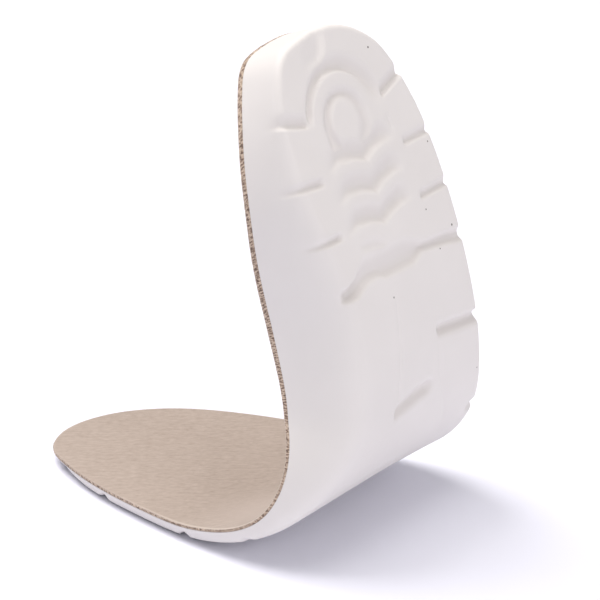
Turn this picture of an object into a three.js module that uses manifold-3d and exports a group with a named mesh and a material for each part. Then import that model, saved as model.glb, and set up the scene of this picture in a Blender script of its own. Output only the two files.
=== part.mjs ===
// Footbed insole for a right foot: a moulded foam footbed with a heel cup, a raised arch and cushioning
// relief under the heel, and a thin fabric cover bonded over its upper side. It is held flexed, with the
// forefoot flat and the heel turned up. Millimetres, +Z up, toe towards -X, medial edge towards -Y.
//
// Every shape is laid out on the unflexed insole first: s runs along the underside from the heel, t across
// it towards the lateral edge, h up from the underside. The function flex then bends it.
import * as THREE from 'three';
import { mergeVertices } from 'three/addons/utils/BufferGeometryUtils.js';
import Module from 'manifold-3d';

const HEEL = 0.8; // station of the heel's rear point, measured along the underside
const LENGTH = 266; // station of the toe's tip
const SEAT = 228; // station of the origin, on the flat underside of the forefoot
const SEAM = 0.3; // bond line between the cover and the foam
const CORNER_SHARE = 0.78; // the most of the wall's height that the rounding below it takes
const CUP_FLOOR = 0.3; // share of the half width that stays level inside the rim
const CUP_POWER = 1.8; // how steeply the cup rises from that floor to the rim
const HEEL_HUB = 32; // stations that the round ends fan out from
const TOE_HUB = 240;
const HEEL_FAN = 8; // facets in a quarter of each round end
const TOE_FAN = 6;
const BODY_STEPS = 44; // facets along the insole between the hubs

// Plan of the rim: the middle line and the half widths on each side of it.
const PLAN = [
  { s: 0.8, axis: -1, medial: 0, lateral: 0 },
  { s: 2.8, axis: -1, medial: 16.4, lateral: 11 },
  { s: 5, axis: -1, medial: 20.3, lateral: 15.8 },
  { s: 12, axis: -1, medial: 25.4, lateral: 24.5 },
  { s: 30, axis: -0.8, medial: 33, lateral: 32.2 },
  { s: 45, axis: 0, medial: 36, lateral: 33.9 },
  { s: 62, axis: 0.5, medial: 35.5, lateral: 34.7 },
  { s: 85, axis: 2, medial: 34, lateral: 35 },
  { s: 115, axis: 4, medial: 36.1, lateral: 37.2 },
  { s: 140, axis: 3, medial: 40.3, lateral: 41.4 },
  { s: 160, axis: 1.5, medial: 42, lateral: 43.6 },
  { s: 185, axis: -0.5, medial: 41, lateral: 42.2 },
  { s: 210, axis: -2, medial: 37.4, lateral: 39 },
  { s: 235, axis: -4, medial: 30.8, lateral: 32.4 },
  { s: 251, axis: -5.5, medial: 23.7, lateral: 24.6 },
  { s: 260.5, axis: -7.5, medial: 16.2, lateral: 16 },
  { s: 266, axis: -9, medial: 0, lateral: 0 },
];

// Thickness on the middle line, height of each rim, how far the underside's edge lies inside it, and how far
// the underside bulges below its plane along the lateral edge.
const HEIGHTS = [
  { s: 0.8, middle: 8, medialRim: 16.2, lateralRim: 16, medialInset: 0.2, lateralInset: 0.2, drop: 0 },
  { s: 12, middle: 8, medialRim: 16, lateralRim: 16.4, medialInset: 0.4, lateralInset: 0.6, drop: 0 },
  { s: 22, middle: 8, medialRim: 16, lateralRim: 16.8, medialInset: 1.5, lateralInset: 1, drop: 0 },
  { s: 32, middle: 8, medialRim: 16.8, lateralRim: 17, medialInset: 2.7, lateralInset: 1, drop: 0 },
  { s: 45, middle: 8.2, medialRim: 18.8, lateralRim: 17.2, medialInset: 3.6, lateralInset: 1, drop: 0 },
  { s: 62, middle: 8.6, medialRim: 22.8, lateralRim: 17.2, medialInset: 5, lateralInset: 1, drop: 0 },
  { s: 85, middle: 9, medialRim: 25.5, lateralRim: 16.4, medialInset: 5, lateralInset: 1, drop: 0 },
  { s: 115, middle: 8, medialRim: 21.4, lateralRim: 13, medialInset: 4.8, lateralInset: 1.2, drop: 0.3 },
  { s: 140, middle: 6.5, medialRim: 12.2, lateralRim: 8.5, medialInset: 3, lateralInset: 1, drop: 1.2 },
  { s: 160, middle: 5.2, medialRim: 6.8, lateralRim: 6.2, medialInset: 1.6, lateralInset: 1.2, drop: 0.9 },
  { s: 185, middle: 4.7, medialRim: 5.6, lateralRim: 5.6, medialInset: 1.9, lateralInset: 1.4, drop: 0 },
  { s: 215, middle: 4.5, medialRim: 5.2, lateralRim: 5.2, medialInset: 1.8, lateralInset: 1.4, drop: 0 },
  { s: 240, middle: 4.5, medialRim: 4.9, lateralRim: 4.9, medialInset: 1.6, lateralInset: 1.6, drop: 0 },
  { s: 254, middle: 4.4, medialRim: 4.6, lateralRim: 4.6, medialInset: 2.4, lateralInset: 2.4, drop: 0 },
  { s: 266, middle: 4.4, medialRim: 4.5, lateralRim: 4.5, medialInset: 3.4, lateralInset: 3.4, drop: 0 },
];

// Rounding between the underside and the wall: how far it reaches under the insole and how far up the wall.
const ROUNDING = [
  { s: 0.8, medialUnder: 2, medialUp: 2.6, lateralUnder: 2.2, lateralUp: 2.4 },
  { s: 12, medialUnder: 2.2, medialUp: 3.2, lateralUnder: 2.2, lateralUp: 2.6 },
  { s: 22, medialUnder: 2.5, medialUp: 4, lateralUnder: 2.4, lateralUp: 2.8 },
  { s: 32, medialUnder: 3.6, medialUp: 6.5, lateralUnder: 2.6, lateralUp: 3 },
  { s: 45, medialUnder: 5, medialUp: 10, lateralUnder: 2.8, lateralUp: 3 },
  { s: 62, medialUnder: 6.5, medialUp: 14.5, lateralUnder: 2.8, lateralUp: 3 },
  { s: 85, medialUnder: 8, medialUp: 18, lateralUnder: 3, lateralUp: 3.2 },
  { s: 115, medialUnder: 9, medialUp: 15, lateralUnder: 3.6, lateralUp: 3.6 },
  { s: 140, medialUnder: 7, medialUp: 8, lateralUnder: 3.8, lateralUp: 3.6 },
  { s: 160, medialUnder: 3.6, medialUp: 3.4, lateralUnder: 2.6, lateralUp: 2.4 },
  { s: 185, medialUnder: 1.6, medialUp: 1.4, lateralUnder: 1.4, lateralUp: 1.2 },
  { s: 266, medialUnder: 1.2, medialUp: 1, lateralUnder: 1.2, lateralUp: 1 },
];

// Thickness of the cover, which is fuller under the heel.
const COVER = [
  { s: 0.8, thick: 1.75 },
  { s: 40, thick: 1.7 },
  { s: 100, thick: 1.4 },
  { s: 160, thick: 1.15 },
  { s: 266, thick: 1.1 },
];

// The flex: how far the underside is turned up from the floor. Between two rows it is one arc.
const FLEX = [
  { s: 0, lean: 113 },
  { s: 40, lean: 113 },
  { s: 60, lean: 109.5 },
  { s: 80, lean: 103.4 },
  { s: 100, lean: 95 },
  { s: 120, lean: 82.2 },
  { s: 140, lean: 57.9 },
  { s: 160, lean: 32 },
  { s: 180, lean: 13.9 },
  { s: 195, lean: 3.8 },
  { s: 205, lean: 0 },
  { s: 266, lean: 0 },
];

// Notches that run in from the edge: their stations at the rim and at the inner end, side (-1 medial,
// 1 lateral), distance of the inner end from the middle, width and depth.
const NOTCHES = [
  { s: 23.4, inner: 27.2, side: -1, end: 18.5, width: 3.6, depth: 2.2 },
  { s: 42.2, inner: 43.4, side: -1, end: 20.5, width: 3.6, depth: 2.2 },
  { s: 59.2, inner: 59.3, side: -1, end: 19, width: 3.6, depth: 2.2 },
  { s: 20.4, inner: 26, side: 1, end: 17, width: 3.6, depth: 2.2 },
  { s: 42, inner: 42.3, side: 1, end: 19, width: 3.6, depth: 2.2 },
  { s: 58.7, inner: 59.1, side: 1, end: 21, width: 3.6, depth: 2.2 },
  { s: 101.2, inner: 100.7, side: 1, end: 16.5, width: 3.8, depth: 2 },
  { s: 133, inner: 133, side: 1, end: 36, width: 3.8, depth: 1.9 },
  { s: 168.8, inner: 168.8, side: -1, end: 35, width: 3.4, depth: 1 },
  { s: 193.8, inner: 193.8, side: -1, end: 34, width: 3.6, depth: 1.5 },
  { s: 229.8, inner: 229.8, side: -1, end: 29, width: 3.4, depth: 1.6 },
  { s: 252, inner: 252, side: -1, end: 22, width: 3.4, depth: 1.8 },
  { s: 165, inner: 165, side: 1, end: 36, width: 4, depth: 1.6 },
  { s: 198, inner: 198, side: 1, end: 31, width: 3.6, depth: 1.5 },
  { s: 230, inner: 230, side: 1, end: 23, width: 3.4, depth: 1.4 },
  { s: 250, inner: 250, side: 1, end: 15, width: 3.4, depth: 1.4 },
];
const NOTCH_REACH = 6; // how far a notch's cutter passes the rim

// The channel between the heel blocks and the horseshoe rib, and the groove round the oval pad inside it.
// Both are arcs round a point, between two angles that are 0 towards the heel and plus on the lateral side.
const CHANNEL = { s: 29, t: -2.1, along: 16.2, across: 15.9, from: -85, to: 70, width: 2.8, depth: 1.5 };
const OVAL = { s: 29.5, t: -2.2, along: 8.4, across: 8.1, from: -130, to: 120, width: 2.4, depth: 1.3 };
const ARC_STEPS = 8;

// The wavy grooves between the heel bars: where each lies, and the wave that they share.
const BAR_STATIONS = [37.6, 47.2, 56.6];
const BAR_WAVE = [
  { t: -13.5, rise: 0.5 },
  { t: -9, rise: -0.2 },
  { t: -4, rise: 0.4 },
  { t: 0.8, rise: 2 },
  { t: 5, rise: 0.4 },
  { t: 10, rise: -0.9 },
  { t: 13.5, rise: -0.6 },
];
const BAR_GROOVE = { width: 3.8, depth: 1.3 };

// The slit behind the heel, the cross groove below the bars and the short groove under the instep.
const HEEL_SLIT_PATH = [{ s: -4, t: -2.3 }, { s: 12, t: -3.5 }];
const HEEL_SLIT = { width: 3, depth: 1.2 };
const CROSS_PATH = [
  { s: 75.8, t: -27.5 },
  { s: 74.6, t: -21.5 },
  { s: 73.2, t: -14 },
  { s: 73.6, t: 6 },
  { s: 73.2, t: 14 },
  { s: 74.2, t: 27 },
  { s: 75.6, t: 42 },
];
const CROSS = { width: 4.6, depth: 1.8 };
const INSTEP_PATH = [{ s: 120.4, t: -4.5 }, { s: 117, t: 12.5 }];
const INSTEP = { width: 4, depth: 1.8 };

// Section that every groove shares: across in half widths, deep in shares of its depth, and below the
// distance in millimetres by which its cutter passes the underside.
const TROUGH = [
  { across: -1.35, below: 1 },
  { across: -0.8, deep: 0.55 },
  { across: -0.35, deep: 1 },
  { across: 0.35, deep: 1 },
  { across: 0.8, deep: 0.55 },
  { across: 1.35, below: 1 },
];
const GROOVE_STEP = 2.6; // length of a facet along a groove

const FACE_SHARES = [0, 0.3, 0.5, 0.68, 0.84, 0.94, 1]; // rows of an upper face, from the middle to the rim
const SOLE_SHARES = [0, 0.4, 0.75]; // rows of the underside, as shares of its width
const CORNER_SHARES = [0, 0.3, 0.62, 1]; // facets of the rounding, and those of the wall above it
const WALL_SHARES = [0.5];
const WELD = 1e-3; // points closer than this are one

const { Manifold, Mesh } = await loadSolids();

async function loadSolids() {
  const wasm = await Module();
  wasm.setup();
  return wasm;
}

// One column of a table as a smooth function of the station.
function track(rows, column, shape = (value) => value) {
  const stations = rows.map((row) => row.s);
  const values = rows.map((row) => shape(row[column]));
  const curve = new THREE.CubicInterpolant(stations, values, 1);
  return (s) => curve.evaluate(s)[0];
}

// The same with straight lines between the rows.
function straight(rows, column) {
  const stations = rows.map((row) => row.s);
  const line = new THREE.LinearInterpolant(stations, rows.map((row) => row[column]), 1);
  return (s) => line.evaluate(s)[0];
}

// Half widths run as squares, so that the ends close round.
function halfWidth(column) {
  const squared = track(PLAN, column, (value) => value * value);
  return (s) => Math.sqrt(Math.max(squared(s), 0));
}

const axisAt = track(PLAN, 'axis');
const middleAt = track(HEIGHTS, 'middle');
const dropAt = track(HEIGHTS, 'drop');
const coverAt = straight(COVER, 'thick');
const sides = [
  {
    sign: -1,
    width: halfWidth('medial'),
    rim: track(HEIGHTS, 'medialRim'),
    inset: track(HEIGHTS, 'medialInset'),
    under: straight(ROUNDING, 'medialUnder'),
    up: straight(ROUNDING, 'medialUp'),
    drop: () => 0,
  },
  {
    sign: 1,
    width: halfWidth('lateral'),
    rim: track(HEIGHTS, 'lateralRim'),
    inset: track(HEIGHTS, 'lateralInset'),
    under: straight(ROUNDING, 'lateralUnder'),
    up: straight(ROUNDING, 'lateralUp'),
    drop: (s) => Math.max(dropAt(s), 0),
  },
];

// The flexed underside, one point and lean per millimetre, worked out from the toe back to the heel.
const underside = flexedUnderside();

function flexedUnderside() {
  const stations = FLEX.map((row) => row.s);
  const leans = FLEX.map((row) => THREE.MathUtils.degToRad(row.lean));
  const leanAt = new THREE.LinearInterpolant(stations, leans, 1);
  const points = new Array(LENGTH + 1);
  points[LENGTH] = { x: 0, z: 0, lean: 0 };
  for (let s = LENGTH - 1; s >= 0; s -= 1) {
    const step = leanAt.evaluate(s + 0.5)[0];
    const last = points[s + 1];
    points[s] = { x: last.x + Math.cos(step), z: last.z + Math.sin(step), lean: leanAt.evaluate(s)[0] };
  }
  const seatX = points[SEAT].x;
  points.forEach((point) => { point.x -= seatX; });
  return points;
}

// Bends a point of the unflexed insole. Past the heel the underside runs on straight.
function flex(s, t, h) {
  const low = THREE.MathUtils.clamp(Math.floor(s), 0, LENGTH - 1);
  const share = s - low;
  const from = underside[low];
  const to = underside[low + 1];
  const lean = from.lean + share * (to.lean - from.lean);
  const x = from.x + share * (to.x - from.x) - h * Math.sin(lean);
  const z = from.z + share * (to.z - from.z) + h * Math.cos(lean);
  return new THREE.Vector3(x, t, z);
}

// Stations of the spokes on one side, closer together round the two ends.
function spokeStations() {
  const stations = [];
  for (let k = 0; k < HEEL_FAN; k += 1) {
    stations.push(HEEL_HUB - (HEEL_HUB - HEEL) * Math.cos((k / HEEL_FAN) * Math.PI / 2));
  }
  for (let k = 0; k <= BODY_STEPS; k += 1) {
    stations.push(HEEL_HUB + (k / BODY_STEPS) * (TOE_HUB - HEEL_HUB));
  }
  for (let k = TOE_FAN - 1; k >= 0; k -= 1) {
    stations.push(TOE_HUB + (LENGTH - TOE_HUB) * Math.cos((k / TOE_FAN) * Math.PI / 2));
  }
  return stations;
}

// A spoke runs from the middle line out to the rim. Near the ends it starts at a hub.
function spoke(side, s) {
  const hubS = THREE.MathUtils.clamp(s, HEEL_HUB, TOE_HUB);
  const hub = new THREE.Vector2(hubS, axisAt(hubS));
  const rim = new THREE.Vector2(s, axisAt(s) + side.sign * side.width(s));
  const length = hub.distanceTo(rim);
  const middle = middleAt(hubS);
  return {
    hub,
    rim,
    length,
    middle,
    rise: side.rim(s) - middle,
    inset: side.inset(s),
    under: side.under(s),
    up: side.up(s),
    drop: side.drop(s),
    cover: [coverAt(hubS), coverAt(s)],
  };
}

// All spokes in one loop: heel tip, medial side, toe tip, lateral side.
function spokeLoop() {
  const stations = spokeStations();
  const medial = stations.map((s) => spoke(sides[0], s));
  const lateral = stations.slice(1, -1).map((s) => spoke(sides[1], s));
  return medial.concat(lateral.reverse());
}

// Height of the cover's upper face at a share of the spoke, less a depth measured square to that face.
function upperHeight(line, share, depth) {
  const climb = Math.max((share - CUP_FLOOR) / (1 - CUP_FLOOR), 0);
  const height = line.middle + line.rise * climb ** CUP_POWER;
  const slope = line.rise * CUP_POWER * climb ** (CUP_POWER - 1) / ((1 - CUP_FLOOR) * line.length);
  return height - depth * Math.hypot(1, slope);
}

function onSpoke(line, share, h) {
  const plan = line.hub.clone().lerp(line.rim, share);
  return flex(plan.x, plan.y, h);
}

// Thickness of the cover at a share of the spoke.
function coverOn(line, share) {
  return THREE.MathUtils.lerp(line.cover[0], line.cover[1], share);
}

// Section of the foam along a spoke: underside, rounding into the wall, wall and upper face.
function foamSection(line) {
  const top = (share) => upperHeight(line, share, coverOn(line, share) + SEAM);
  const wall = top(1) + line.drop;
  const up = Math.min(line.up / wall, CORNER_SHARE);
  const inside = (offset) => 1 - offset / line.length;
  const flatEnd = inside(line.inset + line.under);
  const points = SOLE_SHARES.map((row) => onSpoke(line, row * flatEnd, -line.drop * row * row));
  for (const turn of CORNER_SHARES) {
    const offset = line.inset + line.under * (1 - turn) ** 2 - line.inset * up * turn ** 2;
    points.push(onSpoke(line, inside(offset), wall * up * turn ** 2 - line.drop));
  }
  for (const row of WALL_SHARES) {
    const climb = up + (1 - up) * row;
    points.push(onSpoke(line, inside(line.inset * (1 - climb)), wall * climb - line.drop));
  }
  for (const row of [...FACE_SHARES].reverse()) points.push(onSpoke(line, row, top(row)));
  return points;
}

// Section of the cover along a spoke: lower face out to the rim, then upper face back.
function coverSection(line) {
  const lower = FACE_SHARES.map((row) => onSpoke(line, row, upperHeight(line, row, coverOn(line, row))));
  const upper = FACE_SHARES.map((row) => onSpoke(line, row, upperHeight(line, row, 0)));
  return lower.concat(upper.reverse());
}

// A geometry from points and triangles, with shared points merged and flat slivers dropped.
function meshOf(points, triangles) {
  const positions = triangles.flat().flatMap((index) => points[index].toArray());
  const loose = new THREE.BufferGeometry();
  loose.setAttribute('position', new THREE.Float32BufferAttribute(positions, 3));
  const merged = mergeVertices(loose, WELD);
  const index = merged.getIndex().array;
  const kept = [];
  for (let k = 0; k < index.length; k += 3) {
    const [a, b, c] = index.slice(k, k + 3);
    if (a !== b && b !== c && c !== a) kept.push(a, b, c);
  }
  merged.setIndex(kept);
  return merged;
}

// Skins a closed ring of sections. Their ends meet along the middle line.
function skin(sections) {
  const rows = sections[0].length;
  const triangles = [];
  sections.forEach((section, i) => {
    const next = (i + 1) % sections.length;
    for (let j = 0; j + 1 < rows; j += 1) {
      const a = i * rows + j;
      const b = next * rows + j;
      triangles.push([a, a + 1, b + 1], [a, b + 1, b]);
    }
  });
  return meshOf(sections.flat(), triangles);
}

// A groove's cutter: a trough along a path on the underside.
function trough(path, groove) {
  const curve = new THREE.CatmullRomCurve3(path.map(({ s, t }) => new THREE.Vector3(s, t, 0)));
  const steps = Math.ceil(curve.getLength() / GROOVE_STEP);
  const count = TROUGH.length;
  const points = [];
  const triangles = [];
  for (let i = 0; i <= steps; i += 1) {
    const at = curve.getPointAt(i / steps);
    const along = curve.getTangentAt(i / steps);
    for (const { across, deep, below } of TROUGH) {
      const aside = across * groove.width / 2;
      const h = below ? -below : deep * groove.depth;
      points.push(flex(at.x - along.y * aside, at.y + along.x * aside, h));
    }
  }
  for (let i = 0; i < steps; i += 1) {
    for (let j = 0; j < count; j += 1) {
      const side = (j + 1) % count;
      const row = i * count;
      const next = row + count;
      triangles.push([row + j, row + side, next + side], [row + j, next + side, next + j]);
    }
  }
  const last = steps * count;
  for (let j = 1; j + 1 < count; j += 1) {
    triangles.push([0, j + 1, j], [last, last + j, last + j + 1]);
  }
  return meshOf(points, triangles);
}

function solidOf(geometry) {
  const vertProperties = new Float32Array(geometry.getAttribute('position').array);
  const triVerts = new Uint32Array(geometry.getIndex().array);
  return new Manifold(new Mesh({ numProp: 3, vertProperties, triVerts }));
}

function geometryOf(solid) {
  const mesh = solid.getMesh();
  const geometry = new THREE.BufferGeometry();
  geometry.setAttribute('position', new THREE.Float32BufferAttribute(mesh.vertProperties, 3));
  geometry.setIndex([...mesh.triVerts]);
  return geometry;
}

function notchCutter(notch) {
  const { s, inner, side, end } = notch;
  const halfWidthAt = sides.find(({ sign }) => sign === side).width;
  const edge = axisAt(s) + side * (halfWidthAt(s) + NOTCH_REACH);
  return trough([{ s, t: edge }, { s: inner, t: side * end }], notch);
}

function arcCutter(arc) {
  const path = [];
  for (let k = 0; k <= ARC_STEPS; k += 1) {
    const angle = THREE.MathUtils.degToRad(THREE.MathUtils.lerp(arc.from, arc.to, k / ARC_STEPS));
    path.push({ s: arc.s - arc.along * Math.cos(angle), t: arc.t + arc.across * Math.sin(angle) });
  }
  return trough(path, arc);
}

function barCutter(station) {
  return trough(BAR_WAVE.map(({ t, rise }) => ({ s: station + rise, t })), BAR_GROOVE);
}

function foamFootbed(loop) {
  const cutters = [
    ...NOTCHES.map(notchCutter),
    arcCutter(CHANNEL),
    arcCutter(OVAL),
    ...BAR_STATIONS.map(barCutter),
    trough(HEEL_SLIT_PATH, HEEL_SLIT),
    trough(CROSS_PATH, CROSS),
    trough(INSTEP_PATH, INSTEP),
  ];
  let solid = solidOf(skin(loop.map(foamSection)));
  for (const cutter of cutters) solid = solid.subtract(solidOf(cutter));
  return geometryOf(solid);
}

function piece(name, geometry, color, roughness) {
  const material = new THREE.MeshStandardMaterial({ color, roughness, metalness: 0 });
  const mesh = new THREE.Mesh(geometry, material);
  mesh.name = name;
  return mesh;
}

const loop = spokeLoop();
const insole = new THREE.Group();
insole.add(piece('foam_footbed', foamFootbed(loop), 0xebe7e5, 0.75));
insole.add(piece('top_cover', skin(loop.map(coverSection)), 0xc7b4a8, 0.95));

export default insole;
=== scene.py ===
import math

import bpy
import numpy as np
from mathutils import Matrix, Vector


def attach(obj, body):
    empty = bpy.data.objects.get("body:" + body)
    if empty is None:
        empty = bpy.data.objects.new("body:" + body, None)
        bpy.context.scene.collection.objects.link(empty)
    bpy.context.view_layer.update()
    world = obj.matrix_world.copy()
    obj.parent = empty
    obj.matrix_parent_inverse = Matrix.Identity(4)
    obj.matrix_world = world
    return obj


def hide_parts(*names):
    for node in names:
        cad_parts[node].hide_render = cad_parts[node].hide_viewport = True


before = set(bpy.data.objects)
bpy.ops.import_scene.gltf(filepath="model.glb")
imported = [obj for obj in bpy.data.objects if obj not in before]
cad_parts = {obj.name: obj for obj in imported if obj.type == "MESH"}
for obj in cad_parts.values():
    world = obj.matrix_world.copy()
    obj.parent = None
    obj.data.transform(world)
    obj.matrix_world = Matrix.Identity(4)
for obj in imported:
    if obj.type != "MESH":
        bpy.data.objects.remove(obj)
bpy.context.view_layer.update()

bpy.ops.object.select_all(action="DESELECT")
millimetre = 0.001
uvUnit = 0.01  # one unit of the flat maps is 100 mm


# The insole laid flat, in millimetres: s runs from the heel to the toe, t across it towards the
# lateral edge, and h up from the underside.
insole = {
    "heelTip": 0.8,
    "toeTip": 266.0,
    "seat": 228.0,  # station of the origin
    "heelHub": 32.0,  # the round ends fan out from these two stations
    "toeHub": 240.0,
    "cupFloor": 0.3,  # share of the half width that stays level
    "cupPower": 1.8,  # how steeply the cup rises from there to the rim
    # station, middle line, half width to the medial rim, half width to the lateral rim
    "plan": [
        (0.8, -1, 0, 0),
        (2.8, -1, 16.4, 11),
        (5, -1, 20.3, 15.8),
        (12, -1, 25.4, 24.5),
        (30, -0.8, 33, 32.2),
        (45, 0, 36, 33.9),
        (62, 0.5, 35.5, 34.7),
        (85, 2, 34, 35),
        (115, 4, 36.1, 37.2),
        (140, 3, 40.3, 41.4),
        (160, 1.5, 42, 43.6),
        (185, -0.5, 41, 42.2),
        (210, -2, 37.4, 39),
        (235, -4, 30.8, 32.4),
        (251, -5.5, 23.7, 24.6),
        (260.5, -7.5, 16.2, 16),
        (266, -9, 0, 0),
    ],
    # station, thickness in the middle, height of the medial and the lateral rim, how far the edge of the
    # underside lies inside each rim, and how far the underside bulges along the lateral edge
    "heights": [
        (0.8, 8, 16.2, 16, 0.2, 0.2, 0),
        (12, 8, 16, 16.4, 0.4, 0.6, 0),
        (22, 8, 16, 16.8, 1.5, 1, 0),
        (32, 8, 16.8, 17, 2.7, 1, 0),
        (45, 8.2, 18.8, 17.2, 3.6, 1, 0),
        (62, 8.6, 22.8, 17.2, 5, 1, 0),
        (85, 9, 25.5, 16.4, 5, 1, 0),
        (115, 8, 21.4, 13, 4.8, 1.2, 0.3),
        (140, 6.5, 12.2, 8.5, 3, 1, 1.2),
        (160, 5.2, 6.8, 6.2, 1.6, 1.2, 0.9),
        (185, 4.7, 5.6, 5.6, 1.9, 1.4, 0),
        (215, 4.5, 5.2, 5.2, 1.8, 1.4, 0),
        (240, 4.5, 4.9, 4.9, 1.6, 1.6, 0),
        (254, 4.4, 4.6, 4.6, 2.4, 2.4, 0),
        (266, 4.4, 4.5, 4.5, 3.4, 3.4, 0),
    ],
    # station, thickness of the cover
    "cover": [(0.8, 1.75), (40, 1.7), (100, 1.4), (160, 1.15), (266, 1.1)],
    # station, lean of the underside in degrees
    "flex": [
        (0, 113), (40, 113), (60, 109.5), (80, 103.4), (100, 95), (120, 82.2),
        (140, 57.9), (160, 32), (180, 13.9), (195, 3.8), (205, 0), (266, 0),
    ],
}


def cubicTrack(stations, values):  # a smooth curve through the table's points
    at = np.array(stations, float)
    value = np.array(values, float)
    last = len(at) - 1

    def track(x):
        x = np.clip(np.asarray(x, float), at[0], at[-1])
        right = np.clip(np.searchsorted(at, x, side="right"), 1, last)
        left = right - 1
        before = np.where(left > 0, left - 1, right)
        after = np.where(right < last, right + 1, left)
        half = (at[right] - at[left]) / 2
        pull = half / (at[left] - at[before])
        push = half / (at[after] - at[right])
        p = (x - at[left]) / (2 * half)
        return (
            value[before] * (-pull * p**3 + 2 * pull * p**2 - pull * p)
            + value[left] * ((1 + pull) * p**3 + (-1.5 - 2 * pull) * p**2 + (pull - 0.5) * p + 1)
            + value[right] * ((-1 - push) * p**3 + (1.5 + push) * p**2 + 0.5 * p)
            + value[after] * (push * p**3 - push * p**2)
        )

    return track


planS, planMiddle, *planHalves = np.array(insole["plan"], float).T
axisAt = cubicTrack(planS, planMiddle)
squareAt = [cubicTrack(planS, half**2) for half in planHalves]  # half widths run as squares, to close round

heightColumns = np.array(insole["heights"], float).T
heightS, middles, medialRim, lateralRim, medialInset, lateralInset, bulges = heightColumns
middleAt = cubicTrack(heightS, middles)
rimAt = [cubicTrack(heightS, rim) for rim in (medialRim, lateralRim)]
insetAt = [cubicTrack(heightS, inset) for inset in (medialInset, lateralInset)]
bulgeAt = cubicTrack(heightS, bulges)

# the flexed underside, one point for each millimetre
flexS, flexLean = np.array(insole["flex"], float).T
bendStations = np.arange(0, int(insole["toeTip"]) + 1)
stepLeans = np.radians(np.interp(bendStations[:-1] + 0.5, flexS, flexLean))
bendX = np.append(np.cumsum(np.cos(stepLeans)[::-1])[::-1], 0.0)
bendZ = np.append(np.cumsum(np.sin(stepLeans)[::-1])[::-1], 0.0)
bendX -= np.interp(insole["seat"], bendStations, bendX)


def bendInsole(s, t, h):  # flat place to the flexed one, in metres
    lean = np.radians(np.interp(s, flexS, flexLean))
    x = np.interp(s, bendStations, bendX) - h * np.sin(lean)
    z = np.interp(s, bendStations, bendZ) + h * np.cos(lean)
    return np.stack([x, t + 0 * s, z], axis=-1) * millimetre


def bySide(tracks, side, s):  # side is 0 on the medial edge and 1 on the lateral one
    return np.where(side == 0, tracks[0](s), tracks[1](s))


def layOutSpokes(heelSteps, toeSteps, bodyStations):
    # lines from the middle out to the rim, in one loop: heel, medial edge, toe, lateral edge
    heelTurn = np.linspace(0, np.pi / 2, heelSteps + 1)[:-1]
    toeTurn = np.linspace(0, np.pi / 2, toeSteps + 1)[1:]
    heelS = insole["heelTip"] + (insole["heelHub"] - insole["heelTip"]) * (1 - np.cos(heelTurn))
    toeS = insole["toeHub"] + (insole["toeTip"] - insole["toeHub"]) * np.sin(toeTurn)
    side = np.concatenate([heelS, bodyStations, toeS])
    hub = np.clip(np.arange(len(side)) - heelSteps, 0, len(bodyStations) - 1)
    spokes = {
        "s": np.concatenate([side, side[-2:0:-1]]),
        "hub": np.concatenate([hub, hub[-2:0:-1]]),
        "side": np.concatenate([np.zeros(len(side), int), np.ones(len(side) - 2, int)]),
    }
    s = spokes["s"]
    hubS = bodyStations[spokes["hub"]]
    sign = np.where(spokes["side"] == 0, -1.0, 1.0)
    spokes["hubPoint"] = np.stack([hubS, axisAt(hubS)], axis=-1)
    halfWidth = np.sqrt(np.maximum(bySide(squareAt, spokes["side"], s), 0))
    spokes["rimPoint"] = np.stack([s, axisAt(s) + sign * halfWidth], axis=-1)
    spokes["length"] = np.linalg.norm(spokes["rimPoint"] - spokes["hubPoint"], axis=1)
    spokes["middle"] = middleAt(hubS)
    spokes["rise"] = bySide(rimAt, spokes["side"], s) - spokes["middle"]
    spokes["inset"] = bySide(insetAt, spokes["side"], s)
    spokes["bulge"] = np.where(spokes["side"] == 1, np.maximum(bulgeAt(s), 0), 0)
    step = np.linalg.norm(np.diff(spokes["rimPoint"], axis=0, append=spokes["rimPoint"][:1]), axis=1)
    spokes["along"] = np.concatenate([[0], np.cumsum(step)[:-1]])
    spokes["cover"] = np.interp(s, *np.array(insole["cover"]).T)
    return spokes


def evenStations(spans):  # from, to and step of each stretch of the body
    return np.concatenate([np.arange(a, b - step / 2, step) for a, b, step in spans] + [[spans[-1][1]]])


def upperHeight(spokes, share, depth):  # height of the cupped upper side, depth below the cover's face
    climb = np.maximum((share - insole["cupFloor"]) / (1 - insole["cupFloor"]), 0)
    height = spokes["middle"] + spokes["rise"] * climb ** insole["cupPower"]
    steep = spokes["rise"] * insole["cupPower"] * climb ** (insole["cupPower"] - 1)
    steep = steep / ((1 - insole["cupFloor"]) * spokes["length"])
    return height - depth * np.hypot(1, steep)


def spokePoint(spokes, share):
    share = np.broadcast_to(share, spokes["length"].shape)[:, None]
    return spokes["hubPoint"] + (spokes["rimPoint"] - spokes["hubPoint"]) * share


def signedVolume(piece):  # minus where the faces point inwards
    mesh = piece.data
    mesh.calc_loop_triangles()
    points = np.zeros(len(mesh.vertices) * 3)
    corners = np.zeros(len(mesh.loop_triangles) * 3, np.int32)
    mesh.vertices.foreach_get("co", points)
    mesh.loop_triangles.foreach_get("vertices", corners)
    a, b, c = points.reshape(-1, 3)[corners.reshape(-1, 3)].transpose(1, 0, 2)
    return float(np.einsum("ij,ij->i", a, np.cross(b, c)).sum() / 6)


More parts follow.
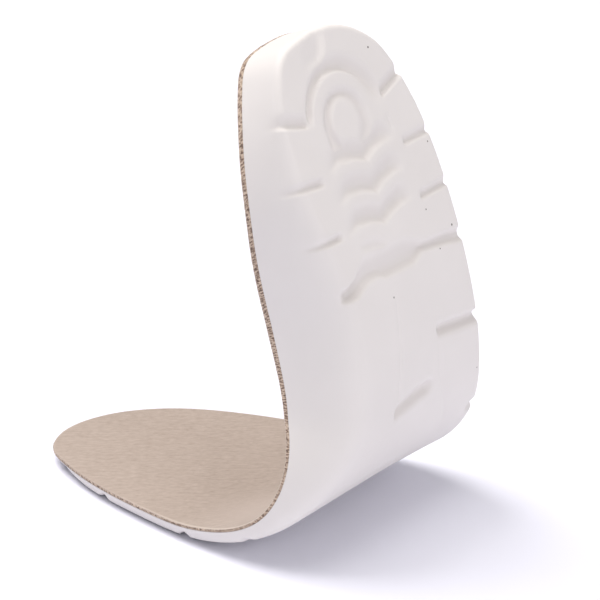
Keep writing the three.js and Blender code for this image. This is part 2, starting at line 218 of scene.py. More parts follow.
def skinSpokes(name, spokes, rows, marks, across=None):
    # rows run from the hub line underneath, out round the rim and back to the hub line on top;
    # marks are attributes with a value for each row, and across is each row's distance round the
    # section, for the map that follows the rim
    hubCount = spokes["hub"].max() + 1
    count = len(spokes["s"])
    firstOf = np.array([np.flatnonzero(spokes["hub"] == i)[0] for i in range(hubCount)])
    points = [bendInsole(*rows[0])[firstOf]]
    points += [bendInsole(*row) for row in rows[1:-1]]
    points += [bendInsole(*rows[-1])[firstOf]]
    ids = [spokes["hub"]]
    ids += [hubCount + count * i + np.arange(count) for i in range(len(rows) - 2)]
    ids += [hubCount + count * (len(rows) - 2) + spokes["hub"]]

    along = spokes["along"]
    flatMap = [np.stack([row[0], row[1]], axis=1) * uvUnit for row in rows]
    rimMap = [np.stack([along, 0 * along + a], axis=1) * uvUnit for a in across or range(len(rows))]
    following = np.roll(np.arange(count), -1)
    faces = []
    corners = {"flatMap": [], "rimMap": []}
    for band in range(len(rows) - 1):
        quads = np.stack([ids[band], ids[band + 1], ids[band + 1][following], ids[band][following]], axis=1)
        for k, quad in enumerate(quads.tolist()):
            kept = [i for i in range(4) if quad[i] != quad[i - 1]]
            faces.append([quad[i] for i in kept])
            for key, uv in (("flatMap", flatMap), ("rimMap", rimMap)):
                n = following[k] if key == "flatMap" or k < count - 1 else k
                ring = (uv[band][k], uv[band + 1][k], uv[band + 1][n], uv[band][n])
                corners[key].extend(ring[i] for i in kept)

    mesh = bpy.data.meshes.new(name)
    mesh.from_pydata(np.concatenate(points), [], faces)
    for key, values in corners.items():
        layer = mesh.uv_layers.new(name=key)
        layer.data.foreach_set("uv", np.array(values, np.float32).ravel())
    for key, values in marks.items():
        values = [np.broadcast_to(value, count) for value in values]
        values = [values[0][firstOf], *values[1:-1], values[-1][firstOf]]
        layer = mesh.attributes.new(key, "FLOAT", "POINT")
        layer.data.foreach_set("value", np.concatenate(values).astype(np.float32))
    mesh.shade_smooth()
    piece = bpy.data.objects.new(name, mesh)
    bpy.context.scene.collection.objects.link(piece)
    if signedVolume(piece) < 0:
        mesh.flip_normals()
    return piece


# Relief moulded into the underside of the foam. A slope or an end is given by the two places where it
# starts and stops, and a shape by four: top and foot of its upper side, foot and top of its lower side.
relief = {
    "easing": (0.3, 0.7),  # shares of a rounded ramp and of a straight one in a slanting side
    # channel between the heel blocks and the horseshoe rib, softer towards the lateral edge
    "channel": {
        "centre": (29, -1.7),
        "radii": (18.0, 17.4),
        "softT": (-16, -8, 0, 14),
        "soft": (1.0, 1.8, 2.5, 2.5),
        "sideShare": (-6, 4),  # from the medial form to the lateral one
        "medialEnd": (22.9, 27.4),
        "lateralEnd": (21.0, 30.0),
        "depth": 1.4,
    },
    "horseshoe": {
        "centre": (29, -2.6),
        "radii": (14.9, 14.6),
        "slope": (-0.8, 0.4),
        "lateralSlope": (-3.0, 3.0),
        "sideShare": (3, 11),
        "innerCentre": (29.6, -2.3),
        "innerRadii": (9.7, 9.6),
        "innerSlope": (-1.5, 1.7),
    },
    # hollow inside the horseshoe, with an oval pad left standing
    "hollow": {"end": (33.0, 40.0), "lateralFade": (3.0, 11.0), "lateralLoss": 0.8, "depth": 1.3},
    "pad": {
        "centre": (29.4, -2.2),
        "radii": (6.9, 6.4),
        "slope": (-0.2, 1.6),
        "lateralSlope": (-2.2, 2.8),
        "sideShare": (-4, 3),
    },
    # wavy bars: a gap with a slanting side and a steep side lies above each one
    "bars": {
        "stations": (39.6, 49.2, 58.6),
        "waveT": (-15, -11.3, -5, 0.8, 5, 10.5, 14),
        "waveS": (1.2, -0.3, 0.2, 2.1, 0.4, -0.9, -0.6),
        "gap": (-6.4, -2.0, -1.3, 1.2),
        "ends": (-18.0, -8.5, 9.0, 17.0),
        "depth": 1.35,
    },
    "ridge": {
        "t": (-11.5, -7.2, -2.3),
        "s": (64.0, 64.5, 65.6),
        "shape": (-1.6, 0.4, 0.8, 2.8),
        "ends": (-14, -11, -4, 1),
        "depth": 0.42,
    },
    # grooves that run out to the rim: station at each t, inner end, top of the slanting side
    "rimGrooves": [
        {
            "t": (-34, -32, -27, -20.5), "s": (21.8, 22.2, 23.8, 25.6), "inner": (18.2, 20.4),
            "slant": -4.0, "depth": 1.3,
        },
        {"t": (-34, -21.5), "s": (41.6, 42.8), "inner": (19.6, 22.2), "slant": -2.3, "depth": 1.2},
        {"t": (-34, -20), "s": (59.2, 59.3), "inner": (18.2, 21.2), "slant": -2.0, "depth": 1.2},
        {"t": (16, 26, 34), "s": (26.4, 23.0, 20.6), "inner": (14.8, 17.6), "slant": -3.8, "depth": 1.6},
        {"t": (18, 34), "s": (42.0, 41.7), "inner": (18.0, 20.6), "slant": -2.6, "depth": 1.15},
        {"t": (18, 34), "s": (58.9, 58.5), "inner": (18.4, 21.0), "slant": -2.5, "depth": 1.2},
    ],
    "grooveFoot": (-0.25, 0.05, 1.3),
    # groove right across: its upper and lower edge, then how its two sides lie about them
    "cross": {
        "upperT": (-22.4, -18, -14.2, -11, -4, 6, 12, 19, 26.5, 32),
        "upperS": (74.0, 72.4, 71.6, 71.3, 71.4, 71.4, 71.6, 72.3, 72.5, 73.2),
        "lowerT": (-23.4, -18.6, -15.4, -11.6, -8.2, -6.2, -4.2, 3, 9.5, 11.6, 14, 21, 26.6, 32),
        "lowerS": (77.5, 77.1, 75.9, 75.0, 74.9, 75.5, 76.3, 76.4, 76.3, 75.2, 74.0, 74.8, 75.6, 76.6),
        "sideT": (-18.6, -13.5, 6, 15),
        "upperTop": (-0.9, -4.6, -4.6, -1.1),
        "upperFoot": (0.9, 1.5, 1.5, 0.8),
        "lowerFoot": (-0.8, -2.0, -2.0, -1.1),
        "lowerTop": (1.0, 0.6, 0.6, 0.7),
        "depthT": (-25.0, -22.8, -18, -14.2, 10, 15, 40),
        "depth": (0, 2.2, 2.1, 1.6, 1.5, 1.4, 1.4),
    },
    # steps that fade out towards the toe, in the middle of the instep and at its lateral edge
    "steps": [
        {
            "t": (-5, -2, 8.4, 14), "s": (118.4, 117.3, 115.2, 115.0), "ends": (-5.4, -3.0, 10.0, 15.5),
            "shape": (-1.7, 1.0, 1.2, 5.0), "depth": 2.0,
        },
        {
            "t": (16, 28, 36), "s": (98.6, 100.0, 100.9), "ends": (15.0, 18.0, 60.0, 61.0),
            "shape": (-1.6, 0.6, 0.8, 3.8), "depth": 2.0,
        },
    ],
    "slit": {
        "s": (-3, 3.5, 5.4, 7.8, 9.9, 13),
        "t": (-2.3, -2.6, -3.3, -4.4, -5.4, -6.0),
        "shape": (-9.0, -0.6, -0.2, 2.6),
        "end": (8.5, 13.0),
        "depth": 1.2,
    },
    # faint lines, two along the instep and one beside the pad: fade is how long each end takes to run out
    "lines": [
        {"s": (80, 112, 118), "t": (-2.0, -3.7, -4.2), "fade": (8, 4), "depth": 0.22},
        {"s": (102, 114, 135), "t": (16.2, 17.2, 25.6), "fade": (8, 4), "depth": 0.2},
        {"s": (31.5, 34.7, 38.5), "t": (15.0, 15.6, 16.2), "fade": (2, 3), "depth": 0.4},
    ],
    "lineSide": (0.2, 1.1),
    # small notches in the edge: station, side, inner end, half width, depth
    "edgeNotches": [
        (101.2, 1, 33, 1.7, 1.8),
        (134.2, 1, 37, 1.9, 1.9),
        (168.8, 0, 35, 1.6, 0.9),
        (193.8, 0, 34, 1.8, 1.5),
        (229.8, 0, 29, 1.7, 1.6),
        (252, 0, 22, 1.7, 1.8),
        (165, 1, 36, 2.0, 1.6),
        (198, 1, 31, 1.8, 1.5),
        (230, 1, 23, 1.7, 1.4),
        (250, 1, 15, 1.7, 1.4),
    ],
    "notchSide": (0.35, 1.15),  # in half widths
    "notchRun": 2.5,
    "wallReach": 7.5,  # how far up the wall a groove runs out,
    "wallShare": 0.9,  # and the most of the wall's height that it takes
}


def ramp(x, low, high):
    x = np.clip((x - low) / (high - low), 0, 1)
    return x * x * (3 - 2 * x)


def straightRamp(x, low, high):  # straighter than a ramp, with less rounding at its ends
    rounded, straight = relief["easing"]
    return rounded * ramp(x, low, high) + straight * np.clip((x - low) / (high - low), 0, 1)


def valley(u, upperTop, upperFoot, lowerFoot, lowerTop):
    return straightRamp(u, upperTop, upperFoot) * (1 - ramp(u, lowerFoot, lowerTop))


def ellipseGap(s, t, centre, radii, openToToe):  # signed distance, minus inside
    tiny = 1e-3
    ds = np.minimum(s - centre[0], 0) if openToToe else s - centre[0]
    dt = t - centre[1]
    r = np.maximum(np.hypot(ds / radii[0], dt / radii[1]), tiny)
    steep = np.hypot(ds / radii[0] ** 2, dt / radii[1] ** 2) / r
    return (r - 1) / np.maximum(steep, tiny)


def channelRelief(s, t):  # channel round the horseshoe rib
    channel, shoe = relief["channel"], relief["horseshoe"]
    edge = ellipseGap(s, t, channel["centre"], channel["radii"], True)
    outer = ellipseGap(s, t, shoe["centre"], shoe["radii"], True)
    soft = np.interp(t, channel["softT"], channel["soft"])
    sharp = 1 - ramp(t, *shoe["sideShare"])
    rib = ramp(outer, *shoe["slope"]) * sharp + ramp(outer, *shoe["lateralSlope"]) * (1 - sharp)
    ring = (1 - ramp(edge, -soft, soft)) * rib
    medialEnd = 1 - ramp(s, *channel["medialEnd"])
    lateralEnd = 1 - ramp(s, *channel["lateralEnd"])
    lateral = ramp(t, *channel["sideShare"])
    return channel["depth"] * (ring * (medialEnd * (1 - lateral) + lateralEnd * lateral))


def bowlRelief(s, t):  # hollow inside the horseshoe, round the pad
    shoe, hollow, pad = relief["horseshoe"], relief["hollow"], relief["pad"]
    inner = ellipseGap(s, t, shoe["innerCentre"], shoe["innerRadii"], True)
    bowl = (1 - ramp(inner, *shoe["innerSlope"])) * (1 - ramp(s, *hollow["end"]))
    gap = ellipseGap(s, t, pad["centre"], pad["radii"], False)
    lateral = ramp(t, *pad["sideShare"])
    bowl = bowl * (ramp(gap, *pad["slope"]) * (1 - lateral) + ramp(gap, *pad["lateralSlope"]) * lateral)
    return hollow["depth"] * (bowl * (1 - hollow["lateralLoss"] * ramp(t, *hollow["lateralFade"])))


def barRelief(s, t):  # gaps between the wavy bars, and the small ridge below them
    bars, ridge = relief["bars"], relief["ridge"]
    wave = np.interp(t, bars["waveT"], bars["waveS"])
    between = valley(t, *bars["ends"])
    depth = 0 * s
    for station in bars["stations"]:
        depth = np.maximum(depth, bars["depth"] * valley(s - station - wave, *bars["gap"]) * between)
    u = s - np.interp(t, ridge["t"], ridge["s"])
    return np.maximum(depth, ridge["depth"] * valley(u, *ridge["shape"]) * valley(t, *ridge["ends"]))


def rimGrooveRelief(s, t):
    depth = 0 * s
    for groove in relief["rimGrooves"]:
        outward = np.sign(groove["t"][-1]) * t
        u = s - np.interp(t, groove["t"], groove["s"])
        cut = valley(u, groove["slant"], *relief["grooveFoot"]) * ramp(outward, *groove["inner"])
        depth = np.maximum(depth, groove["depth"] * cut)
    return depth


def crossRelief(s, t):
    cross = relief["cross"]
    upper = np.interp(t, cross["upperT"], cross["upperS"])
    lower = np.interp(t, cross["lowerT"], cross["lowerS"])
    upperTop, upperFoot, lowerFoot, lowerTop = (
        np.interp(t, cross["sideT"], cross[key]) for key in ("upperTop", "upperFoot", "lowerFoot", "lowerTop")
    )
    trough = straightRamp(s, upper + upperTop, upper + upperFoot)
    trough = trough * (1 - ramp(s, lower + lowerFoot, lower + lowerTop))
    return trough * np.interp(t, cross["depthT"], cross["depth"])


def stepRelief(s, t):
    depth = 0 * s
    for step in relief["steps"]:
        u = s - np.interp(t, step["t"], step["s"])
        depth = np.maximum(depth, step["depth"] * valley(u, *step["shape"]) * valley(t, *step["ends"]))
    return depth


def hollowDepth(s, t):  # all the wider hollows
    forms = (channelRelief, bowlRelief, barRelief, rimGrooveRelief, crossRelief, stepRelief)
    return np.maximum.reduce([form(s, t) for form in forms])


def fineDepth(s, t):  # the slit, the faint lines and the notches in the edge
    slit = relief["slit"]
    u = t - np.interp(s, slit["s"], slit["t"])
    depth = np.maximum(0, slit["depth"] * valley(u, *slit["shape"]) * (1 - ramp(s, *slit["end"])))

    for line in relief["lines"]:
        u = t - np.interp(s, line["s"], line["t"])
        first, last = line["s"][0], line["s"][-1]
        along = valley(s, first, first + line["fade"][0], last - line["fade"][1], last)
        depth = np.maximum(depth, line["depth"] * (1 - ramp(np.abs(u), *relief["lineSide"])) * along)

    for station, side, inner, half, cut in relief["edgeNotches"]:
        outward = t if side else -t
        foot, top = (half * share for share in relief["notchSide"])
        notch = 1 - ramp(np.abs(s - station), foot, top)
        depth = np.maximum(depth, cut * notch * ramp(outward, inner, inner + relief["notchRun"]))
    return depth


footbed = {
    "heelSteps": 84,
    "toeSteps": 36,
    "stations": [(32, 80, 0.5), (80, 125, 0.8), (125, 240, 1.25)],
    "underRows": 50,
    "cornerRows": 14,
    "wallRows": 8,
    "rimRows": (0.985, 1.0),  # last rows of the wall, as shares of its height
    "rimShare": 0.995,  # first row of the upper side, as a share of the spoke
    "upperRows": 10,
    "coverGap": 0.05,
    "cornerShare": 0.78,  # the most of the wall's height that the rounding takes
    # station, rounding along the underside and up the wall, on the medial edge and then on the lateral one
    "rounding": [
        (0.8, 2.0, 2.6, 2.2, 2.4),
        (12, 2.2, 3.2, 2.2, 2.6),
        (22, 2.5, 4.0, 2.4, 2.8),
        (32, 3.6, 6.5, 2.6, 3.0),
        (45, 5.0, 10.0, 2.8, 3.0),
        (62, 6.5, 14.5, 2.8, 3.0),
        (85, 8.0, 18.0, 3.0, 3.2),
        (115, 9.0, 15.0, 3.6, 3.6),
        (140, 7.0, 8.0, 3.8, 3.6),
        (160, 3.6, 3.4, 2.6, 2.4),
        (185, 1.6, 1.4, 1.4, 1.2),
        (266, 1.2, 1.0, 1.2, 1.0),
    ],
}


def makeFootbed():
    spokes = layOutSpokes(footbed["heelSteps"], footbed["toeSteps"], evenStations(footbed["stations"]))
    length, inset, bulge = spokes["length"], spokes["inset"], spokes["bulge"]
    roundingS, *columns = np.array(footbed["rounding"], float).T
    medialUnder, medialUp, lateralUnder, lateralUp = (np.interp(spokes["s"], roundingS, c) for c in columns)
    medial = spokes["side"] == 0
    under = np.where(medial, medialUnder, lateralUnder)
    topDepth = spokes["cover"] + footbed["coverGap"]
    rimHeight = upperHeight(spokes, 1.0, topDepth)
    wall = rimHeight + bulge
    up = np.minimum(np.where(medial, medialUp, lateralUp) / wall, footbed["cornerShare"])

    rows = []
    for row in np.linspace(0, 1, footbed["underRows"] + 1):
        rows.append((spokePoint(spokes, row * (1 - (inset + under) / length)), -bulge * row**2))
    # the corner is a parabola from the underside into the wall
    for turn in np.linspace(0, 1, footbed["cornerRows"] + 1)[1:]:
        offset = inset + under * (1 - turn) ** 2 - inset * up * turn**2
        rows.append((spokePoint(spokes, 1 - offset / length), wall * up * turn**2 - bulge))
    for climb in (*np.linspace(0, 1, footbed["wallRows"] + 1)[1:-1], *footbed["rimRows"]):
        climb = up + (1 - up) * climb
        rows.append((spokePoint(spokes, 1 - inset * (1 - climb) / length), wall * climb - bulge))

    reach = np.minimum(relief["wallReach"], relief["wallShare"] * rimHeight)
    moulded = []
    hollows = []
    for p, h in rows:
        fade = np.clip(1 - np.maximum(h, 0) / reach, 0, 1)
        hollow = hollowDepth(p[:, 0], p[:, 1])
        cut = np.maximum(hollow, fineDepth(p[:, 0], p[:, 1]))
        moulded.append((p[:, 0], p[:, 1], h + cut * fade))
        # painted shade: the hollows' depth is kept for the foam's colour, which darkens with it
        hollows.append(hollow * fade)
    for share in (footbed["rimShare"], *np.linspace(1, 0, footbed["upperRows"] + 1)[1:]):
        p = spokePoint(spokes, share)
        moulded.append((p[:, 0], p[:, 1], upperHeight(spokes, share, topDepth)))
        hollows.append(0.0)
    return skinSpokes("foam_footbed_moulded", spokes, moulded, {"hollow": hollows})


foamPiece = makeFootbed()
print("foam footbed:", len(foamPiece.data.polygons), "faces,", round(signedVolume(foamPiece) * 1e6, 1), "cm3")


coverSheet = {
    "heelSteps": 150,
    "toeSteps": 80,
    "stations": [(32, 240, 0.6)],
    "backRows": 10,
    "backInset": 0.12,  # the lower face ends this far inside the rim
    "cutLevels": (0.88, 0.7, 0.52, 0.34),  # rows of the cut edge, as shares of the thickness
    "fray": (-0.12, 0.04),  # how far fibres stand out of the cut edge, or lie back in it
    "fraySpread": 0.04,
    "seed": 7,
    "levelShift": 0.05,
    "cornerRows": [(0.04, 0.2), (0.126, 0.06), (0.28, 0.0)],  # distance inside the rim, depth below the face
    "cornerShift": 0.03,
    "edgeRows": (0.8, 1.3, 2.0, 3.0),  # distances inside the rim
    "faceRows": 24,
    "facePower": 1.2,  # rows of the face are closer together near the rim
    "backMap": 50,  # room for the lower and the upper face on the map that follows the rim
    "faceMap": 40,
    "farOff": 9.0,  # stands for any distance well away from the cut
    "flat": (0.087, 0.266),
    "flatArea": 0.0,  # worked out below
}


def makeCover():
    stations = evenStations(coverSheet["stations"])
    spokes = layOutSpokes(coverSheet["heelSteps"], coverSheet["toeSteps"], stations)
    thick, length = spokes["cover"], spokes["length"]
    count = len(length)
    farOff, shift, cornerShift = (coverSheet[key] for key in ("farOff", "levelShift", "cornerShift"))
    rng = np.random.default_rng(coverSheet["seed"])
    rows = []
    across = []  # distance round the section from the lower corner of the cut
    fromCut = []  # distance of a row on the face from the cut, 0 on the cut itself

    def addRow(offset, depth, acrossAt, cutAt):
        share = 1 - offset / length
        p = spokePoint(spokes, share)
        rows.append((p[:, 0], p[:, 1], upperHeight(spokes, np.minimum(share, 1), depth)))
        across.append(acrossAt)
        fromCut.append(cutAt)

    for share in np.linspace(0, 1, coverSheet["backRows"] + 1):
        offset = (1 - share) * length + share * coverSheet["backInset"]
        addRow(offset, thick, -coverSheet["backMap"] * (1 - share), farOff * (share < 1))
    for level in coverSheet["cutLevels"]:
        jag = rng.uniform(*coverSheet["fray"], count) + coverSheet["fraySpread"] * rng.standard_normal(count)
        addRow(jag, thick * level + rng.uniform(-shift, shift, count), thick * (1 - level), 0.0)
    for offset, depth in coverSheet["cornerRows"]:
        jag = rng.uniform(-cornerShift, cornerShift, count)
        addRow(offset + jag, depth, thick - depth + offset, offset)
    for offset in coverSheet["edgeRows"]:
        addRow(offset, 0.0, thick + offset, offset)
    inner = coverSheet["edgeRows"][-1]
    for share in np.linspace(0, 1, coverSheet["faceRows"] + 1)[1:]:
        share = share ** coverSheet["facePower"]
        addRow(inner + (length - inner) * share, 0.0, thick + inner + coverSheet["faceMap"] * share, farOff)

    marks = {"cutEdge": [float(distance == 0) for distance in fromCut], "fromCut": fromCut}
    piece = skinSpokes("top_cover_fabric", spokes, rows, marks, across)
    rim = spokes["rimPoint"]
    after = np.roll(rim, -1, axis=0)
    area = abs((rim[:, 0] * after[:, 1] - rim[:, 1] * after[:, 0]).sum()) / 2
    return piece, area * millimetre**2


coverPiece, coverSheet["flatArea"] = makeCover()
print("cover:", len(coverPiece.data.polygons), "faces, flat", round(coverSheet["flatArea"] * 1e4, 1), "cm2")


def startMaterial(name):
    material = bpy.data.materials.new(name)
    material.use_nodes = True
    tree = material.node_tree
    shader = next(n for n in tree.nodes if n.type == "BSDF_PRINCIPLED")
    return material, tree, shader


def addNode(tree, kind, inputs=None, **settings):
    node = tree.nodes.new(kind)
    for key, value in settings.items():
        setattr(node, key, value)
    for key, value in (inputs or {}).items():
        if isinstance(value, bpy.types.NodeSocket):
            tree.links.new(value, node.inputs[key])
        else:
            node.inputs[key].default_value = value
    return node


def addNoise(tree, place, scale, detail, roughness):
    inputs = {"Vector": place, "Scale": scale, "Detail": detail, "Roughness": roughness}
    return addNode(tree, "ShaderNodeTexNoise", inputs).outputs["Fac"]


def addMath(tree, operation, *values):
    return addNode(tree, "ShaderNodeMath", dict(enumerate(values)), operation=operation).outputs[0]


def addAttribute(tree, name):
    return addNode(tree, "ShaderNodeAttribute", attribute_name=name).outputs["Fac"]


def addMap(tree, name):
    return addNode(tree, "ShaderNodeUVMap", uv_map=name).outputs["UV"]


def turnedMap(tree, flat, degrees, stretch):  # turns a map, and stretches it along its first axis
    inputs = {"Vector": flat, "Rotation": (0, 0, math.radians(degrees)), "Scale": (stretch, 1, 1)}
    return addNode(tree, "ShaderNodeMapping", inputs, vector_type="TEXTURE").outputs["Vector"]


def distanceFrom(tree, flat, s, t):  # on the flat map
    centre = (s * uvUnit, t * uvUnit, 0)
    return addNode(tree, "ShaderNodeVectorMath", {0: flat, 1: centre}, operation="DISTANCE").outputs["Value"]


def mixColour(tree, factor, first, second):
    if not isinstance(second, bpy.types.NodeSocket):
        second = (*second, 1)
    inputs = {"Factor": factor, "A": first, "B": second}
    return addNode(tree, "ShaderNodeMix", inputs, data_type="RGBA").outputs["Result"]


def colourRamp(tree, factor, stops):
    node = addNode(tree, "ShaderNodeValToRGB", {"Fac": factor})
    elements = node.color_ramp.elements
    while len(elements) < len(stops):
        elements.new(0.5)
    for element, (place, colour) in zip(elements, stops):
        element.position = place
        element.color = (*colour, 1)
    return node.outputs["Color"]


def mapRange(tree, value, given, wanted):
    keys = ("From Min", "From Max", "To Min", "To Max")
    inputs = {"Value": value, **dict(zip(keys, (*given, *wanted)))}
    return addNode(tree, "ShaderNodeMapRange", inputs, interpolation_type="SMOOTHSTEP").outputs["Result"]


def addBump(tree, shader, height, strength, distance):
    bump = addNode(tree, "ShaderNodeBump", {"Height": height, "Strength": strength, "Distance": distance})
    tree.links.new(bump.outputs["Normal"], shader.inputs["Normal"])


foamLook = {
    "clouds": (28.0, 3.0, 0.5),  # scale, detail and roughness of each noise
    # two tones of the skin, and where each lies in the clouds
    "tones": [(0.3, (0.758, 0.726, 0.711)), (0.7, (0.790, 0.757, 0.742))],
    "hollow": (0.738, 0.702, 0.686),  # painted shade: a darker skin tone at the foot of the hollows, standing in for the shade there
    "hollowDepth": (0.0, 1.0),
    "grain": (1600.0, 2.0, 0.6),
    "grainShare": 0.25,
    "dents": (170.0, 2.0, 0.5),
    "bump": (0.12, 0.0006),
    "roughness": 0.58,
    "specular": 0.3,
    # small open cells in the skin, drawn as dots of painted shade: station, place across and radius, in
    # millimetres
    "pinholes": [
        (12.0, 16.5, 0.34),
        (44.7, 29.4, 0.26),
        (63.0, 20.0, 0.26),
        (70.9, 30.2, 0.36),
        (75.9, 22.4, 0.26),
        (82.7, -3.1, 0.28),
        (119.4, 37.4, 0.24),
    ],
    "pinholeShade": (0.22, 0.20, 0.19),
}


def foamMaterial():
    material, tree, shader = startMaterial("moulded white foam")
    place = addNode(tree, "ShaderNodeTexCoord").outputs["Object"]
    tone = colourRamp(tree, addNoise(tree, place, *foamLook["clouds"]), foamLook["tones"])
    # painted shade: the skin darkens towards the foot of the wider hollows
    hollowShade = mapRange(tree, addAttribute(tree, "hollow"), foamLook["hollowDepth"], (0.0, 1.0))
    tone = mixColour(tree, hollowShade, tone, foamLook["hollow"])
    flat = addMap(tree, "flatMap")
    # painted shade: a dark dot for the shade inside each open cell
    for s, t, radius in foamLook["pinholes"]:
        inside = addMath(tree, "LESS_THAN", distanceFrom(tree, flat, s, t), radius * uvUnit)
        tone = mixColour(tree, inside, tone, foamLook["pinholeShade"])
    tree.links.new(tone, shader.inputs["Base Color"])
    grain = addMath(tree, "MULTIPLY", addNoise(tree, place, *foamLook["grain"]), foamLook["grainShare"])
    skin = addMath(tree, "ADD", addNoise(tree, place, *foamLook["dents"]), grain)
    addBump(tree, shader, skin, *foamLook["bump"])
    shader.inputs["Roughness"].default_value = foamLook["roughness"]
    shader.inputs["Specular IOR Level"].default_value = foamLook["specular"]
    return material


coverLook = {
    # two tones of the nap, and where each lies in its noise
    "tones": [(0.35, (0.368, 0.295, 0.248)), (0.65, (0.512, 0.426, 0.373))],
    "grainAngle": -37.4,  # direction of the nap on the flat cover, in degrees
    "grainStretch": 3.2,
    # scale, detail and roughness of each noise, and its share in the nap
    "fine": (76.0, 4.0, 0.7),
    "fineShare": 0.46,
    "hair": (165.0, 3.0, 0.6),
    "hairShare": 0.42,
    "broad": (6.0, 2.0, 0.5),
    "broadShare": 0.12,
    "bendLight": (0.560, 0.470, 0.420),  # painted light: a paler patch where the cover bends, standing in for the brighter light there
    "bendLightAt": (175.0, -23.0),
    "bendLightReach": (2.0, 24.0),
    "bendLightShare": 0.7,
    "rim": (0.68, 0.59, 0.52),  # painted highlight just inside the cut, where the edge catches the light; it fades between two stations
    "highlightReach": (0.3, 0.9),
    "rimShare": 0.7,
    "highlightFade": (185.0, 232.0),
    "highlightLeft": 0.15,
    "yarnAngle": 58,
    "yarnStretch": 2.4,
    "yarn": (205.0, 2.0, 0.6),
    # tones of the cut edge, and where each lies in the yarn's noise
    "cut": [(0.43, (0.17, 0.115, 0.09)), (0.49, (0.43, 0.315, 0.24)), (0.56, (0.66, 0.53, 0.425))],
    "bump": (0.4, 0.0006),
    "roughness": 0.9,
    "specular": 0.15,
    "sheen": 0.25,
    "sheenRoughness": 0.5,
}


def coverMaterial():
    material, tree, shader = startMaterial("beige nap fabric")
    flat = addMap(tree, "flatMap")
    lay = turnedMap(tree, flat, coverLook["grainAngle"], coverLook["grainStretch"])
    nap = 0.0
    for key, place in (("fine", lay), ("hair", lay), ("broad", flat)):
        noise = addNoise(tree, place, *coverLook[key])
        nap = addMath(tree, "MULTIPLY_ADD", noise, coverLook[key + "Share"], nap)
    tone = colourRamp(tree, nap, coverLook["tones"])

    # painted light: the cover is paler where it bends, where more light falls on it
    far = distanceFrom(tree, flat, *coverLook["bendLightAt"])
    reach = [distance * uvUnit for distance in coverLook["bendLightReach"]]
    bendLight = mapRange(tree, far, reach, (coverLook["bendLightShare"], 0.0))
    tone = mixColour(tree, bendLight, tone, coverLook["bendLight"])

    # painted highlight: a paler line just inside the cut, where the cover's edge catches the light
    fromCut = addAttribute(tree, "fromCut")
    edgeHighlight = mapRange(tree, fromCut, coverLook["highlightReach"], (coverLook["rimShare"], 0.0))
    station = addNode(tree, "ShaderNodeSeparateXYZ", {0: flat}).outputs["X"]
    fade = [s * uvUnit for s in coverLook["highlightFade"]]
    edgeHighlight = addMath(tree, "MULTIPLY", edgeHighlight, mapRange(tree, station, fade, (1.0, coverLook["highlightLeft"])))
    tone = mixColour(tree, edgeHighlight, tone, coverLook["rim"])

    # yarn ends on the cut edge, slanting across it
    slanting = turnedMap(tree, addMap(tree, "rimMap"), coverLook["yarnAngle"], coverLook["yarnStretch"])
    cut = colourRamp(tree, addNoise(tree, slanting, *coverLook["yarn"]), coverLook["cut"])
    tone = mixColour(tree, addAttribute(tree, "cutEdge"), tone, cut)
    tree.links.new(tone, shader.inputs["Base Color"])

    addBump(tree, shader, nap, *coverLook["bump"])
    shader.inputs["Roughness"].default_value = coverLook["roughness"]
    shader.inputs["Specular IOR Level"].default_value = coverLook["specular"]
    shader.inputs["Sheen Weight"].default_value = coverLook["sheen"]
    shader.inputs["Sheen Roughness"].default_value = coverLook["sheenRoughness"]
    return material


foamPiece.data.materials.append(foamMaterial())
coverPiece.data.materials.append(coverMaterial())
print("materials done")


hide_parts("foam_footbed")
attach(foamPiece, "root")

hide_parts("top_cover")
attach(coverPiece, "root")


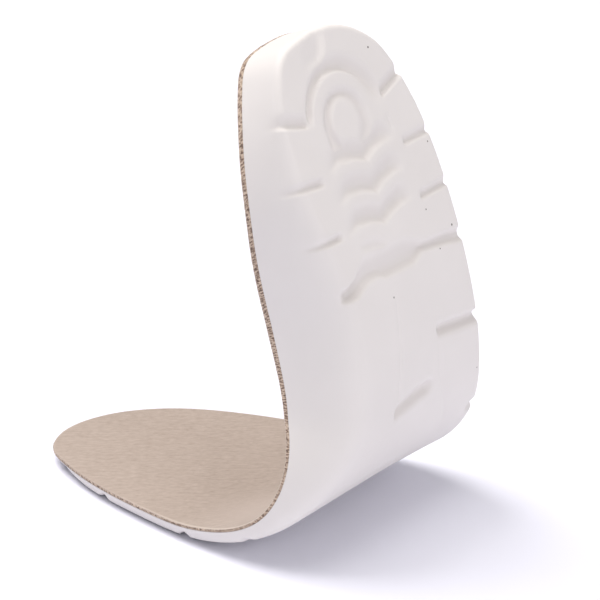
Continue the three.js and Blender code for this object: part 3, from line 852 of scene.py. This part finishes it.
studio = {
    "floorSize": 6.0,
    "floorDrop": 0.0004,
    "floorColour": (0.882, 0.888, 0.985),
    "floorRoughness": 0.9,
    "floorSpecular": 0.1,
    "skyColour": (1.0, 0.98, 0.97),
    "skyStrength": 0.37,
    "aim": (0.02, 0.0, 0.06),
    "lampDistance": 1.6,
    # direction from the insole, size, power and colour of each soft lamp
    "lamps": {
        "top": {"towards": (0.05, -0.05, 1.0), "size": 1.1, "power": 10.0, "colour": (1.0, 0.975, 0.95)},
        "back": {"towards": (-0.45, -0.05, 0.89), "size": 1.1, "power": 19.0, "colour": (1.0, 0.975, 0.95)},
        "fill": {"towards": (0.9, -0.18, 0.42), "size": 0.9, "power": 6.6, "colour": (0.99, 0.97, 0.96)},
    },
}


def makeFloor():
    bpy.ops.mesh.primitive_plane_add(size=studio["floorSize"], location=(0, 0, -studio["floorDrop"]))
    floor = bpy.context.object
    floor.name = "studio_floor"
    bpy.ops.object.transform_apply(location=True)
    material, _, shader = startMaterial("pale floor")
    shader.inputs["Base Color"].default_value = (*studio["floorColour"], 1)
    shader.inputs["Roughness"].default_value = studio["floorRoughness"]
    shader.inputs["Specular IOR Level"].default_value = studio["floorSpecular"]
    floor.data.materials.append(material)


def makeLights():
    world = bpy.data.worlds.new("soft studio")
    world.use_nodes = True
    sky = world.node_tree.nodes["Background"]
    sky.inputs["Color"].default_value = (*studio["skyColour"], 1)
    sky.inputs["Strength"].default_value = studio["skyStrength"]
    bpy.context.scene.world = world
    for name, look in studio["lamps"].items():
        lamp = bpy.data.lights.new(name, "AREA")
        lamp.shape = "DISK"
        lamp.size = look["size"]
        lamp.energy = look["power"]
        lamp.color = look["colour"]
        lampObject = bpy.data.objects.new(name, lamp)
        towards = Vector(look["towards"]).normalized()
        lampObject.location = Vector(studio["aim"]) + towards * studio["lampDistance"]
        lampObject.rotation_euler = (-towards).to_track_quat("-Z", "Y").to_euler()
        bpy.context.scene.collection.objects.link(lampObject)


makeFloor()
makeLights()


camera = {
    "location": (0.5378, -0.6412, 0.4197),
    "azimuth": 37.37,
    "elevation": 23.52,
    "lens": 176.1,
    "sensor": 36.0,
}
cameraData = bpy.data.cameras.new("camera")
cameraData.lens = camera["lens"]
cameraData.sensor_width = camera["sensor"]
cameraObject = bpy.data.objects.new("camera", cameraData)
cameraObject.location = camera["location"]
cameraObject.rotation_euler = (math.radians(90 - camera["elevation"]), 0, math.radians(camera["azimuth"]))
bpy.context.scene.collection.objects.link(cameraObject)
bpy.context.scene.camera = cameraObject
bpy.context.scene.view_settings.view_transform = "Standard"
print("studio and camera done")
